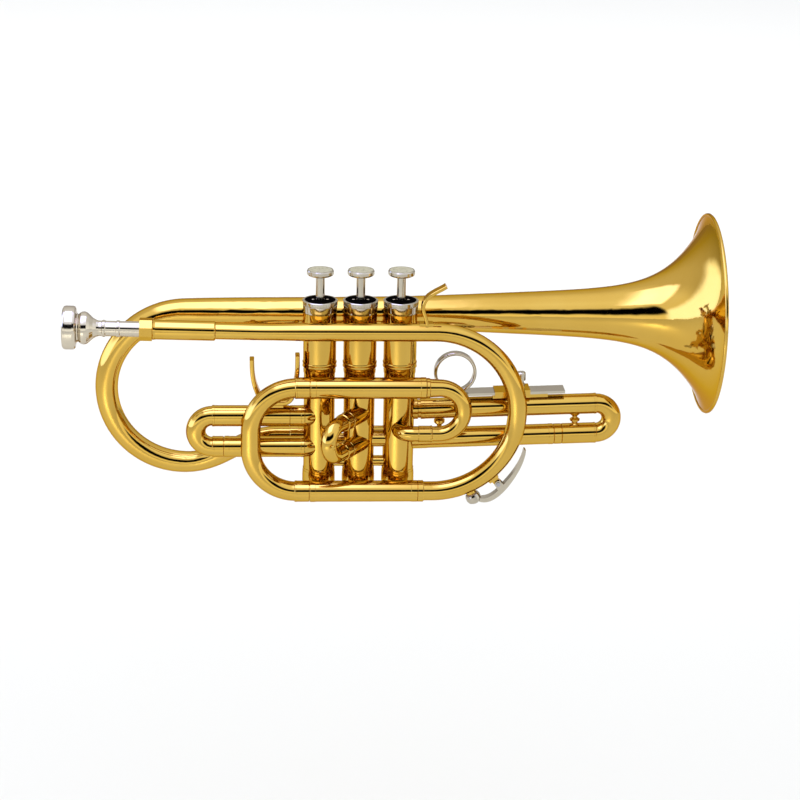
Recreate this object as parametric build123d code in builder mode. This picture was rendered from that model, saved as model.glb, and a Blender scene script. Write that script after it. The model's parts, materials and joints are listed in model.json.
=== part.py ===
from build123d import *
import os
from math import sin, cos, radians, sqrt

os.makedirs("parts", exist_ok=True)

# ---------------------------------------------------------------- axes and planes
# Origin: axis of the middle valve, where a hand holds the valve block.
# +X towards the bell mouth, +Y away from the leadpipe side, +Z up through the buttons.
VALVE_PITCH = 24.7
VALVE_X = (-VALVE_PITCH, 0.0, VALVE_PITCH)
FRONT_Y = -18.0        # plane of leadpipe, big bow and tuning slide
BELL_Y = 21.0          # plane of the bell
FIRST_Y = -5.0         # plane of the first valve slide
THIRD_Y = 2.0          # plane of the third valve slide

# ---------------------------------------------------------------- valve block
CASING_R = 9.6         # lower barrel
BARREL_R = 10.15       # upper barrel
BORE_R = 8.40
PISTON_R = 8.34
CASING_TOP = 62.0
CASING_BOTTOM = -51.2
STEP_Z = 22.0          # where the upper barrel meets the lower one
CAP_Z = 57.0           # lower edge of the top cap
CAP_TOP = 64.8
LOW_CAP_Z = -45.2      # upper edge of the bottom cap
LOW_CAP_END = -55.0
STEM_R = 2.75
BUTTON_Z = 80.2
BUTTON_TOP = 83.7
BUTTON_R = 8.2
PISTON_LOW = -28.0
PISTON_HIGH = 36.0
NECK_TOP = 58.0

# ---------------------------------------------------------------- tubes
WALL = 0.55
FIT = 0.05             # radial clearance of a sliding leg
LEAD_R = 5.0           # at the receiver
PIPE_R = 5.55          # along the valves
END_R = 5.95           # from the middle of the big bow on
CONE_X = (-54.0, -32.0)
LEAD_Z = 49.5
LEAD_SLOPE = 1.31      # degrees, mouthpiece end higher
LEAD_BEND_X = -60.0
BOW_R = 51.45          # big bow, centreline
BOW_X = 45.2
TUNE_TOP_Z = 13.9
TUNE_LOW_Z = LEAD_Z - 2.0 * BOW_R
SLEEVE_R = 6.6
SLEEVE_X = (-30.5, 40.0)
TUNE_FERRULE_X = -40.0
TUNE_BOW_X = -38.8
TUNE_CORNER = 28.2
CROOK_R = 4.85
CROOK_X = 48.6
CROOK_LOW_Z = -15.9

# ---------------------------------------------------------------- bell
BELL_Z = 50.2
LOOP_R = 49.3
LOOP_X = -107.3
BELL_WALL = 0.7
TAIL_Y = 7.5
TAIL_Z = -25.6
TAIL_R = 5.6
BELL_STATIONS = (
    (LOOP_X, 8.6), (-60.0, 9.4), (0.0, 9.9), (40.0, 10.75), (80.0, 12.3), (120.0, 14.1),
    (150.0, 16.2), (168.0, 18.9), (182.0, 23.2), (192.0, 28.6), (200.0, 35.0),
    (207.0, 42.6), (213.0, 51.0), (217.4, 61.4),
)

# ---------------------------------------------------------------- valve slides
FIRST_UP_Z = -8.5
FIRST_LOW_Z = -28.7
FIRST_BOW_X = -90.7
LEG_R = 6.55
SECOND_DIR = (-0.56, -0.8285, 0.0)
SECOND_START = (-1.2, -9.0)
SECOND_Z = -16.2
SECOND_HALF = 9.4
SECOND_R = 5.5
THIRD_START = (38.0, THIRD_Y, -16.0)
THIRD_HALF = 9.7
THIRD_TILT = 1.85
THIRD_R = 6.45
THIRD_BOW = 110.6      # distance from the start of the legs to the bow


def tube(start, way, length, outer, inner=0.0, mode=Mode.ADD):
    """Straight round tube or rod added to the open part."""
    with BuildSketch(Plane(origin=start, z_dir=way)) as ring:
        Circle(outer)
        if inner > 0.0:
            Circle(inner, mode=Mode.SUBTRACT)
    extrude(to_extrude=ring.sketch, amount=length, mode=mode)


def turned(start, way, points, mode=Mode.ADD):
    """Solid of revolution about a line, from (distance, radius) points."""
    side = (0.0, 0.0, 1.0) if abs(way[2]) < 0.9 else (0.0, 1.0, 0.0)
    normal = Vector(*way).cross(Vector(*side)).normalized()
    with BuildSketch(Plane(origin=start, x_dir=way, z_dir=normal)) as face:
        with BuildLine():
            Polyline(*points, close=True)
        make_face()
    revolve(profiles=face.sketch, axis=Axis(start, way), mode=mode)


def swept(path, outer, inner=0.0, mode=Mode.ADD):
    """Round tube along a wire."""
    with BuildSketch(Plane(origin=path @ 0, z_dir=path % 0)) as ring:
        Circle(outer)
        if inner > 0.0:
            Circle(inner, mode=Mode.SUBTRACT)
    sweep(sections=ring.sketch, path=path, mode=mode)


def tapered_sweep(line, stations, less, mode):
    """Round tube of changing radius along a wire."""
    faces = []
    for plane, radius in stations:
        with BuildSketch(plane) as ring:
            Circle(radius - less)
        faces.append(ring.sketch.face())
    sweep(sections=faces, path=line.wire(), multisection=True, mode=mode)


def bow_wire(plane, radius):
    """Half circle from (0, r) to (0, -r), bulging along the plane's x direction."""
    with BuildLine(plane, mode=Mode.PRIVATE) as line:
        ThreePointArc((0, radius), (radius, 0), (0, -radius))
    return line.wire()


def ferrule(start, way, length, outer, inner, mode=Mode.ADD):
    """Short sleeve with eased edges."""
    ease = min(0.35, 0.6 * (outer - inner))
    turned(start, way, [(0, inner), (0, outer - ease), (ease, outer), (length - ease, outer),
                        (length, outer - ease), (length, inner)], mode)


def save(builder, node):
    builder.part.label = node
    export_step(builder.part, "parts/" + node + ".step")


# ---------------------------------------------------------------- mouthpiece end
UP_LEFT = (-cos(radians(LEAD_SLOPE)), 0.0, sin(radians(LEAD_SLOPE)))
DOWN_RIGHT = (-UP_LEFT[0], 0.0, -UP_LEFT[2])


def on_lead(x):
    """Point on the sloping part of the leadpipe axis at a given x."""
    return (x, FRONT_Y, LEAD_Z + (LEAD_BEND_X - x) * sin(radians(LEAD_SLOPE)) / cos(radians(LEAD_SLOPE)))


MOUTH_X = -179.4
RECEIVER_X = -133.5

with BuildPart() as mouthpiece:
    o = on_lead(MOUTH_X)
    turned(o, DOWN_RIGHT, [
        (1.6, 8.3), (0.5, 9.2), (0.0, 10.6), (0.3, 12.0), (1.0, 12.9), (2.2, 13.2), (6.4, 13.2),
        (7.6, 12.8), (8.2, 11.9), (8.4, 10.4), (8.8, 8.8), (9.6, 8.3), (10.4, 9.0), (11.4, 9.7),
        (13.0, 10.0), (14.6, 9.6), (16.3, 8.2), (18.3, 6.3), (20.3, 5.1), (21.8, 4.66), (23.4, 4.66),
        (23.8, 5.0), (24.6, 5.2), (25.4, 5.0), (25.8, 4.66), (32.0, 4.66), (32.4, 5.0), (33.2, 5.15),
        (34.0, 5.0), (34.4, 4.66), (46.0, 4.62), (67.9, 4.20), (67.9, 3.5), (40.0, 2.6),
        (24.0, 1.9), (19.0, 1.8), (14.5, 3.6), (10.0, 6.3), (5.0, 7.9),
    ])
save(mouthpiece, "mouthpiece")

with BuildPart() as receiver:
    o = on_lead(RECEIVER_X)
    with BuildSketch(Plane(origin=o, x_dir=(0, 1, 0), z_dir=DOWN_RIGHT)) as facets:
        RegularPolygon(6.5, 8, major_radius=False, rotation=22.5)
    extrude(to_extrude=facets.sketch, amount=7.6)
    turned(o, DOWN_RIGHT, [(7.6, 3.0), (7.6, 6.0), (8.3, 6.3), (9.0, 6.1), (9.4, 5.95), (44.6, 5.95),
                           (45.2, 5.7), (45.6, 5.2), (45.6, 3.0)])
    turned(o, DOWN_RIGHT, [(-0.5, 5.9), (-0.5, 9.0), (1.6, 9.0)], Mode.SUBTRACT)
    turned(o, DOWN_RIGHT, [(-1.0, 0.0), (-1.0, 4.67), (0.0, 4.67), (23.2, 4.25), (23.2, 4.0),
                           (26.0, 4.0), (26.0, LEAD_R), (50.0, LEAD_R), (50.0, 0.0)], Mode.SUBTRACT)
save(receiver, "receiver")

LEAD_START = on_lead(RECEIVER_X + 26.0)
with BuildLine() as lead_line:
    bend = radians(LEAD_SLOPE)
    BEND_R = 400.0
    reach = BEND_R * sin(bend / 2) / cos(bend / 2)
    a = on_lead(LEAD_BEND_X - reach * cos(bend))
    b = (LEAD_BEND_X + reach, FRONT_Y, LEAD_Z)
    Line(LEAD_START, a)
    TangentArc(a, b, tangent=DOWN_RIGHT)
    Line(b, (CONE_X[0], FRONT_Y, LEAD_Z))

# the drain hole of the water key looks outwards from the lower bow
KEY_ANGLE = 25.0
KEY_OUT = (sin(radians(KEY_ANGLE)), 0.0, -cos(radians(KEY_ANGLE)))
BOW_CENTRE = (BOW_X, FRONT_Y, LEAD_Z - BOW_R)


def bow_point(angle, radius):
    """Point beside the big bow, angle from straight down towards the bell."""
    return (BOW_X + radius * sin(radians(angle)), FRONT_Y, BOW_CENTRE[2] - radius * cos(radians(angle)))


with BuildLine() as upper_bow:
    ThreePointArc((BOW_X, FRONT_Y, LEAD_Z), bow_point(135.0, BOW_R), bow_point(90.0, BOW_R))
with BuildLine() as lower_bow:
    ThreePointArc(bow_point(90.0, BOW_R), bow_point(45.0, BOW_R), (BOW_X, FRONT_Y, TUNE_LOW_Z))
    Line((BOW_X, FRONT_Y, TUNE_LOW_Z), (SLEEVE_X[1] - 4.0, FRONT_Y, TUNE_LOW_Z))
upper_stations = []
for a in (180.0, 135.0, 90.0):
    across_bow = Plane(origin=bow_point(a, BOW_R), x_dir=(0, 1, 0),
                       z_dir=(-cos(radians(a)), 0, -sin(radians(a))))
    upper_stations.append((across_bow, END_R - (END_R - PIPE_R) * (a - 90.0) / 90.0))

with BuildPart() as leadpipe:
    for less, mode in ((0.0, Mode.ADD), (0.5, Mode.SUBTRACT)):
        swept(lead_line.wire(), LEAD_R - less, mode=mode)
        turned((CONE_X[0], FRONT_Y, LEAD_Z), (1, 0, 0),
               [(0.0, 0.0), (0.0, LEAD_R - less), (CONE_X[1] - CONE_X[0], PIPE_R - less),
                (BOW_X - CONE_X[0], PIPE_R - less), (BOW_X - CONE_X[0], 0.0)], mode)
        tapered_sweep(upper_bow, upper_stations, less, mode)
        swept(lower_bow.wire(), END_R - less, mode=mode)
    tube(bow_point(KEY_ANGLE, BOW_R), KEY_OUT, 8.0, 1.6, mode=Mode.SUBTRACT)
save(leadpipe, "leadpipe")

# ---------------------------------------------------------------- main tuning slide
with BuildPart() as sleeve_upper:
    tube((SLEEVE_X[0], FRONT_Y, TUNE_TOP_Z), (1, 0, 0), SLEEVE_X[1] - SLEEVE_X[0], SLEEVE_R, SLEEVE_R - WALL)
    ferrule((SLEEVE_X[0], FRONT_Y, TUNE_TOP_Z), (1, 0, 0), 3.4, SLEEVE_R + 0.15, SLEEVE_R - 0.1)
    ferrule((SLEEVE_X[1] - 3.4, FRONT_Y, TUNE_TOP_Z), (1, 0, 0), 3.4, SLEEVE_R + 0.12, SLEEVE_R - 0.1)
save(sleeve_upper, "tuning_sleeve_upper")

with BuildPart() as sleeve_lower:
    length = SLEEVE_X[1] - SLEEVE_X[0] - 4.0
    tube((SLEEVE_X[0], FRONT_Y, TUNE_LOW_Z), (1, 0, 0), length, SLEEVE_R, SLEEVE_R - WALL)
    ferrule((SLEEVE_X[0], FRONT_Y, TUNE_LOW_Z), (1, 0, 0), 3.4, SLEEVE_R + 0.15, SLEEVE_R - 0.1)
    ferrule((SLEEVE_X[1] - 4.0, FRONT_Y, TUNE_LOW_Z), (1, 0, 0), 3.8, SLEEVE_R + 0.12, END_R)
    ferrule((SLEEVE_X[1] - 8.0, FRONT_Y, TUNE_LOW_Z), (1, 0, 0), 4.0, SLEEVE_R + 0.12, SLEEVE_R - 0.1)
save(sleeve_lower, "tuning_sleeve_lower")

with BuildLine() as tune_line:
    k = TUNE_CORNER * (1 - sqrt(0.5))
    x0 = TUNE_BOW_X
    left = x0 - TUNE_CORNER
    Line((x0 + 5.0, FRONT_Y, TUNE_TOP_Z), (x0, FRONT_Y, TUNE_TOP_Z))
    ThreePointArc((x0, FRONT_Y, TUNE_TOP_Z), (left + k, FRONT_Y, TUNE_TOP_Z - k),
                  (left, FRONT_Y, TUNE_TOP_Z - TUNE_CORNER))
    Line((left, FRONT_Y, TUNE_TOP_Z - TUNE_CORNER), (left, FRONT_Y, TUNE_LOW_Z + TUNE_CORNER))
    ThreePointArc((left, FRONT_Y, TUNE_LOW_Z + TUNE_CORNER), (left + k, FRONT_Y, TUNE_LOW_Z + k),
                  (x0, FRONT_Y, TUNE_LOW_Z))
    Line((x0, FRONT_Y, TUNE_LOW_Z), (x0 + 5.0, FRONT_Y, TUNE_LOW_Z))

with BuildPart() as tuning_slide:
    swept(tune_line.wire(), 6.05, 5.4)
    for z in (TUNE_TOP_Z, TUNE_LOW_Z):
        tube((TUNE_FERRULE_X + 4.0, FRONT_Y, z), (1, 0, 0), 42.0, SLEEVE_R - WALL - FIT, 5.4)
        ferrule((TUNE_FERRULE_X, FRONT_Y, z), (1, 0, 0), SLEEVE_X[0] - TUNE_FERRULE_X - 0.35, SLEEVE_R, 5.5)
        ferrule((TUNE_FERRULE_X, FRONT_Y, z), (1, 0, 0), 1.6, SLEEVE_R + 0.12, 5.5)
save(tuning_slide, "tuning_slide")

# ---------------------------------------------------------------- crook into the third valve
ELBOW = 8.0
with BuildLine() as crook_line:
    half = (TUNE_TOP_Z - CROOK_LOW_Z) / 2
    mid = (TUNE_TOP_Z + CROOK_LOW_Z) / 2
    turn_x = VALVE_X[2] + ELBOW
    q = ELBOW * sqrt(0.5)
    Line((CROOK_X, FRONT_Y, CROOK_LOW_Z), (turn_x, FRONT_Y, CROOK_LOW_Z))
    ThreePointArc((turn_x, FRONT_Y, CROOK_LOW_Z), (turn_x - q, FRONT_Y + ELBOW - q, CROOK_LOW_Z),
                  (VALVE_X[2], FRONT_Y + ELBOW, CROOK_LOW_Z))
    Line((VALVE_X[2], FRONT_Y + ELBOW, CROOK_LOW_Z), (VALVE_X[2], FRONT_Y + ELBOW + 2.0, CROOK_LOW_Z))

with BuildLine() as crook_bow:
    ThreePointArc((CROOK_X, FRONT_Y, TUNE_TOP_Z), (CROOK_X + half, FRONT_Y, mid),
                  (CROOK_X, FRONT_Y, CROOK_LOW_Z))
crook_stations = []
for a, r in ((0.0, 5.4), (90.0, 5.05), (180.0, CROOK_R)):
    across_crook = Plane(origin=(CROOK_X + half * sin(radians(a)), FRONT_Y, mid + half * cos(radians(a))),
                         x_dir=(0, 1, 0), z_dir=(cos(radians(a)), 0, -sin(radians(a))))
    crook_stations.append((across_crook, r))

with BuildPart() as crook:
    for less, mode in ((0.0, Mode.ADD), (0.5, Mode.SUBTRACT)):
        run = CROOK_X - SLEEVE_X[1] - 0.05
        turned((SLEEVE_X[1] + 0.05, FRONT_Y, TUNE_TOP_Z), (1, 0, 0),
               [(0.0, 0.0), (0.0, 5.9 - less), (run, 5.4 - less), (run, 0.0)], mode)
        tapered_sweep(crook_bow, crook_stations, less, mode)
        swept(crook_line.wire(), CROOK_R - less, mode=mode)
    tube((VALVE_X[2], 0, CROOK_LOW_Z - 8.0), (0, 0, 1), 16.0, CASING_R, mode=Mode.SUBTRACT)
    ferrule((SLEEVE_X[1] + 0.05, FRONT_Y, TUNE_TOP_Z), (1, 0, 0), 2.4, 6.25, 5.6)
    ferrule((CROOK_X - 4.2, FRONT_Y, CROOK_LOW_Z), (-1, 0, 0), 8.6, 5.15, CROOK_R - 0.1)
    ferrule((CROOK_X - 4.2, FRONT_Y, CROOK_LOW_Z), (-1, 0, 0), 1.2, 5.4, CROOK_R - 0.1)
save(crook, "crook")

# ---------------------------------------------------------------- bell
bell_outer = list(BELL_STATIONS)
bell_inner = []
for i, (x, r) in enumerate(bell_outer):
    x_a, r_a = bell_outer[max(i - 1, 0)]
    x_b, r_b = bell_outer[min(i + 1, len(bell_outer) - 1)]
    span = sqrt((x_b - x_a) ** 2 + (r_b - r_a) ** 2)
    bell_inner.append((x + BELL_WALL * (r_b - r_a) / span, r - BELL_WALL * (x_b - x_a) / span))
bell_inner[0] = (bell_outer[0][0], bell_outer[0][1] - BELL_WALL)
RIM_X = bell_outer[-1][0]
RIM_R = bell_outer[-1][1]


def loop_plane(angle):
    """Plane across the bell loop, angle from the top round to the bottom."""
    a = radians(angle)
    at = (LOOP_X - LOOP_R * sin(a), BELL_Y, BELL_Z - LOOP_R + LOOP_R * cos(a))
    return Plane(origin=at, x_dir=(0, 1, 0), z_dir=(-cos(a), 0, -sin(a)))


LOOP_RADII = ((0, 8.6), (45, 7.6), (90, 7.0), (135, 6.95), (180, 6.65))
with BuildLine() as loop_line:
    ThreePointArc((LOOP_X, BELL_Y, BELL_Z), (LOOP_X - LOOP_R, BELL_Y, BELL_Z - LOOP_R),
                  (LOOP_X, BELL_Y, BELL_Z - 2 * LOOP_R))
TAIL_JOIN = -50.0
TAIL_END = VALVE_X[0] - 7.0
with BuildLine() as tail_line:
    Spline((LOOP_X, BELL_Y, BELL_Z - 2 * LOOP_R), (TAIL_JOIN, TAIL_Y, TAIL_Z),
           tangents=((1, 0, 0), (1, 0, 0)), tangent_scalars=(1.1, 1.1))
with BuildLine() as tail_end_line:
    Line((TAIL_JOIN, TAIL_Y, TAIL_Z), (TAIL_END, TAIL_Y, TAIL_Z))


loop_stations = [(loop_plane(a), r) for a, r in LOOP_RADII]
tail_stations = [
    (Plane(origin=(LOOP_X, BELL_Y, BELL_Z - 2 * LOOP_R), x_dir=(0, 1, 0), z_dir=(1, 0, 0)), 6.65),
    (Plane(origin=(TAIL_JOIN, TAIL_Y, TAIL_Z), x_dir=(0, 1, 0), z_dir=(1, 0, 0)), TAIL_R),
]
with BuildPart() as bell:
    with BuildSketch(Plane(origin=(0, BELL_Y, BELL_Z), x_dir=(1, 0, 0), z_dir=(0, -1, 0))) as flare:
        with BuildLine():
            Spline(*bell_outer)
            Line(bell_outer[-1], bell_inner[-1])
            Spline(*reversed(bell_inner))
            Line(bell_inner[0], bell_outer[0])
        make_face()
    revolve(profiles=flare.sketch, axis=Axis((0, BELL_Y, BELL_Z), (1, 0, 0)))
    tapered_sweep(loop_line, loop_stations, 0.0, Mode.ADD)
    tapered_sweep(tail_line, tail_stations, 0.0, Mode.ADD)
    swept(tail_end_line.wire(), TAIL_R)
    tapered_sweep(loop_line, loop_stations, BELL_WALL, Mode.SUBTRACT)
    tapered_sweep(tail_line, tail_stations, BELL_WALL, Mode.SUBTRACT)
    swept(tail_end_line.wire(), TAIL_R - BELL_WALL, mode=Mode.SUBTRACT)
    tube((VALVE_X[0], 0, TAIL_Z - 8.0), (0, 0, 1), 16.0, CASING_R, mode=Mode.SUBTRACT)
save(bell, "bell")

with BuildPart() as rim_wire:
    rim_edge = (RIM_X + 0.6, BELL_Y, BELL_Z + RIM_R + 0.2)
    with BuildSketch(Plane(origin=rim_edge, x_dir=(1, 0, 0), z_dir=(0, -1, 0))) as bead:
        Circle(1.15)
    revolve(profiles=bead.sketch, axis=Axis((0, BELL_Y, BELL_Z), (1, 0, 0)))
    add(bell.part, mode=Mode.SUBTRACT)
save(rim_wire, "bell_rim_wire")

with BuildPart() as bell_ferrule:
    ferrule((TAIL_JOIN + 7.5, TAIL_Y, TAIL_Z), (1, 0, 0), 5.2, TAIL_R + 0.35, TAIL_R)
    tube((VALVE_X[0], 0, TAIL_Z - 8.0), (0, 0, 1), 16.0, CASING_R, mode=Mode.SUBTRACT)
save(bell_ferrule, "bell_tail_ferrule")

# ---------------------------------------------------------------- second slide directions
D2 = Vector(*SECOND_DIR)


def second_at(distance, z):
    return (SECOND_START[0] + D2.X * distance, SECOND_START[1] + D2.Y * distance, z)


third_rad = radians(THIRD_TILT)
D3 = (cos(third_rad), 0.0, sin(third_rad))
U3 = (-sin(third_rad), 0.0, cos(third_rad))


def third_at(distance, height):
    """Point in the plane of the third slide."""
    return (THIRD_START[0] + D3[0] * distance + U3[0] * height, THIRD_Y,
            THIRD_START[2] + D3[2] * distance + U3[2] * height)


ELBOW_X = -34.1        # where the first slide's legs turn into the casing
ELBOW_R = 7.0


def elbow_wire(z):
    """Quarter bend from a leg of the first slide into the casing."""
    q = ELBOW_R * sqrt(0.5)
    with BuildLine(mode=Mode.PRIVATE) as line:
        ThreePointArc((ELBOW_X, FIRST_Y, z), (ELBOW_X + q, FIRST_Y + ELBOW_R - q, z),
                      (ELBOW_X + ELBOW_R, FIRST_Y + ELBOW_R, z))
    return line.wire()


KNUCKLE_12_Z = -27.0
KNUCKLE_23_Z = -25.4
PORT_R = 3.9

# (valve, point on the port's axis, direction out of the casing)
PORTS = (
    (0, (VALVE_X[0], TAIL_Y - 1.6, TAIL_Z), (-1, 0, 0)),
    (0, (VALVE_X[0], 0, KNUCKLE_12_Z), (1, 0, 0)),
    (1, (VALVE_X[1], 0, KNUCKLE_12_Z), (-1, 0, 0)),
    (1, (VALVE_X[1], 0, KNUCKLE_23_Z), (1, 0, 0)),
    (1, second_at(8.0, SECOND_Z + SECOND_HALF), (-SECOND_DIR[0], -SECOND_DIR[1], 0)),
    (1, second_at(8.0, SECOND_Z - SECOND_HALF), (-SECOND_DIR[0], -SECOND_DIR[1], 0)),
    (2, (VALVE_X[2], 0, KNUCKLE_23_Z), (-1, 0, 0)),
    (2, (VALVE_X[2], 0, CROOK_LOW_Z), (0, -1, 0)),
    (2, third_at(-12.0, THIRD_HALF), D3),
    (2, third_at(-12.0, -THIRD_HALF), D3),
)

for n, vx in enumerate(VALVE_X):
    name = str(n + 1)
    with BuildPart() as casing:
        turned((vx, 0, 0), (0, 0, 1), [
            (CASING_BOTTOM, BORE_R), (CASING_BOTTOM, 9.15), (LOW_CAP_Z, 9.15), (LOW_CAP_Z, CASING_R + 0.3),
            (LOW_CAP_Z + 1.4, CASING_R + 0.3), (LOW_CAP_Z + 1.6, CASING_R), (STEP_Z - 3.4, CASING_R),
            (STEP_Z - 3.2, CASING_R + 0.35), (STEP_Z - 1.6, CASING_R + 0.35), (STEP_Z - 1.4, CASING_R + 0.1),
            (STEP_Z, CASING_R + 0.1), (STEP_Z + 0.5, BARREL_R + 0.15), (STEP_Z + 2.0, BARREL_R + 0.15),
            (STEP_Z + 2.3, BARREL_R), (CAP_Z, BARREL_R), (CAP_Z, 9.55), (CASING_TOP, 9.55),
            (CASING_TOP, BORE_R),
        ])
        for valve, at, way in PORTS:
            if valve == n:
                length = 11.0 if valve != 1 else 12.0
                tube(at, way, length, PORT_R, mode=Mode.SUBTRACT)
        if n == 0:
            for z in (FIRST_UP_Z, FIRST_LOW_Z):
                swept(elbow_wire(z), PORT_R, mode=Mode.SUBTRACT)
    save(casing, "valve_casing_" + name)

    with BuildPart() as top_cap:
        turned((vx, 0, 0), (0, 0, 1), [
            (CAP_Z + 0.05, 9.6), (CAP_Z + 0.05, 9.95), (CAP_Z + 1.2, 10.2), (CAP_TOP - 2.9, 10.7),
            (CAP_TOP - 2.7, 10.45), (CAP_TOP - 2.3, 10.45), (CAP_TOP - 2.1, 10.75), (CAP_TOP - 0.3, 10.75),
            (CAP_TOP, 10.45), (CAP_TOP, 9.45), (CAP_TOP - 0.8, 9.45), (CAP_TOP - 0.8, STEM_R + 0.06),
            (CASING_TOP + 0.2, STEM_R + 0.06), (CASING_TOP + 0.2, 9.6),
        ])
        with BuildSketch(Plane.XY.offset(CAP_TOP - 2.0)) as knurl:
            with Locations((vx, 0)):
                with PolarLocations(10.85, 40):
                    Rectangle(0.5, 0.45)
        extrude(to_extrude=knurl.sketch, amount=1.6, mode=Mode.SUBTRACT)
    save(top_cap, "top_cap_" + name)

    with BuildPart() as bottom_cap:
        turned((vx, 0, 0), (0, 0, 1), [
            (LOW_CAP_Z - 0.05, 9.2), (LOW_CAP_Z - 0.05, 10.0), (LOW_CAP_Z - 3.0, 10.2),
            (LOW_CAP_END + 2.6, 10.2), (LOW_CAP_END + 0.8, 9.6), (LOW_CAP_END, 8.2),
            (LOW_CAP_END - 0.4, 4.2), (LOW_CAP_END - 2.4, 3.4), (LOW_CAP_END - 2.4, 1.6),
            (LOW_CAP_END + 2.4, 1.6), (LOW_CAP_END + 2.4, 9.2),
        ])
    save(bottom_cap, "bottom_cap_" + name)

    with BuildPart() as piston:
        turned((vx, 0, 0), (0, 0, 1), [
            (PISTON_LOW, 0), (PISTON_LOW, PISTON_R - 0.3), (PISTON_LOW + 0.3, PISTON_R),
            (PISTON_HIGH - 0.3, PISTON_R), (PISTON_HIGH, PISTON_R - 0.3), (PISTON_HIGH, 6.0),
            (NECK_TOP, 6.0), (NECK_TOP, STEM_R),
            (NECK_TOP - 6.0, STEM_R), (NECK_TOP - 6.0, 0),
        ])
        tube((vx, 0, PISTON_HIGH - 20.0), (0, 0, 1), 20.0, 6.9, 2.6, mode=Mode.SUBTRACT)
        tube((vx, 0, PISTON_HIGH - 8.0), (0, 0, 1), 8.0, 6.0)
        for z, way in ((FIRST_UP_Z, (1, 0, 0)), (-19.0, (0, 1, 0)), (2.5, (0, 1, 0))):
            start = (vx - 12.0 * way[0], -12.0 * way[1], z)
            tube(start, way, 24.0, 4.3, mode=Mode.SUBTRACT)
    save(piston, "piston_" + name)

    with BuildPart() as stem:
        turned((vx, 0, 0), (0, 0, 1), [
            (NECK_TOP - 6.0, 0), (NECK_TOP - 6.0, STEM_R), (BUTTON_Z - 1.2, STEM_R),
            (BUTTON_Z - 0.4, STEM_R - 0.3), (BUTTON_Z + 1.2, STEM_R - 0.3), (BUTTON_Z + 1.2, 0),
        ])
    save(stem, "stem_" + name)

    with BuildPart() as button:
        turned((vx, 0, 0), (0, 0, 1), [
            (BUTTON_Z, STEM_R - 0.3), (BUTTON_Z, 7.2), (BUTTON_Z + 0.5, 7.9), (BUTTON_Z + 1.2, BUTTON_R),
            (BUTTON_TOP - 0.7, BUTTON_R), (BUTTON_TOP, 7.8), (BUTTON_TOP, 7.3), (BUTTON_TOP - 1.4, 7.3),
            (BUTTON_TOP - 1.4, 0), (BUTTON_Z + 1.2, 0), (BUTTON_Z + 1.2, STEM_R - 0.3),
        ])
    save(button, "button_" + name)

    with BuildPart() as pearl:
        turned((vx, 0, 0), (0, 0, 1), [
            (BUTTON_TOP - 1.4, 0), (BUTTON_TOP - 1.4, 7.25), (BUTTON_TOP - 0.1, 7.25),
            (BUTTON_TOP + 0.05, 7.0), (BUTTON_TOP - 0.2, 5.2), (BUTTON_TOP - 0.38, 3.0),
            (BUTTON_TOP - 0.45, 0),
        ])
    save(pearl, "pearl_" + name)

    with BuildPart() as felt:
        turned((vx, 0, 0), (0, 0, 1), [(NECK_TOP + 0.02, STEM_R + 0.02), (NECK_TOP + 0.02, 7.6),
                                       (CASING_TOP - 0.2, 7.6), (CASING_TOP - 0.2, STEM_R + 0.02)])
    save(felt, "felt_" + name)

    with BuildPart() as spring:
        rise = PISTON_LOW - (LOW_CAP_END + 2.4) - 1.1
        with BuildLine() as coil:
            Helix(pitch=rise / 6.0, height=rise, radius=6.0, center=(vx, 0, LOW_CAP_END + 2.4 + 0.55))
        with BuildSketch(Plane(origin=coil.line @ 0, z_dir=coil.line % 0)) as wire:
            Circle(0.45)
        sweep(sections=wire.sketch, path=coil.line)
    save(spring, "spring_" + name)

# ---------------------------------------------------------------- pieces of the valve block
with BuildPart() as cap_discs:
    for vx in VALVE_X:
        turned((vx, 0, 0), (0, 0, 1), [
            (CAP_TOP - 0.75, STEM_R + 0.3), (CAP_TOP - 0.75, 9.4), (CAP_TOP - 0.05, 9.4),
            (CAP_TOP + 0.1, 9.1), (CAP_TOP + 0.1, STEM_R + 0.3),
        ])
save(cap_discs, "cap_discs")


def between(left_valve, z, outer, inner=0.0):
    """Short tube or bar joining two neighbouring casings."""
    start = VALVE_X[left_valve]
    tube((start, 0, z), (1, 0, 0), VALVE_PITCH, outer, inner)
    for vx in (start, start + VALVE_PITCH):
        tube((vx, 0, z - 8.0), (0, 0, 1), 16.0, CASING_R, mode=Mode.SUBTRACT)


with BuildPart() as knuckles:
    between(0, KNUCKLE_12_Z, 5.0, PORT_R)
    between(1, KNUCKLE_23_Z, 5.0, PORT_R)
save(knuckles, "knuckles")

with BuildPart() as casing_braces:
    for valve, z, r in ((0, 12.0, 2.4), (1, 12.0, 2.4), (0, -40.0, 3.4), (1, -40.0, 3.4),
                        (1, -18.4, 1.6)):
        tube((VALVE_X[valve] + VALVE_PITCH / 2 - 5.6, 0, z), (1, 0, 0), 11.2, r)
    for vx in VALVE_X:
        tube((vx, 0, -50.0), (0, 0, 1), 70.0, CASING_R, mode=Mode.SUBTRACT)
save(casing_braces, "casing_braces")

with BuildPart() as lead_stays:
    for x in (VALVE_X[0], VALVE_X[2]):
        tube((x, FRONT_Y, LEAD_Z), (0, 1, 0), 10.0, 2.4)
        tube((x, FRONT_Y, LEAD_Z), (0, 1, 0), 6.5, 3.8)
        tube((x, -11.2, LEAD_Z), (0, 1, 0), 3.0, 3.8)
        tube((x, 0, LEAD_Z - 6.0), (0, 0, 1), 12.0, BARREL_R, mode=Mode.SUBTRACT)
    tube((VALVE_X[0] - 12.0, FRONT_Y, LEAD_Z), (1, 0, 0), 78.0, PIPE_R, mode=Mode.SUBTRACT)
save(lead_stays, "leadpipe_stays")

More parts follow.
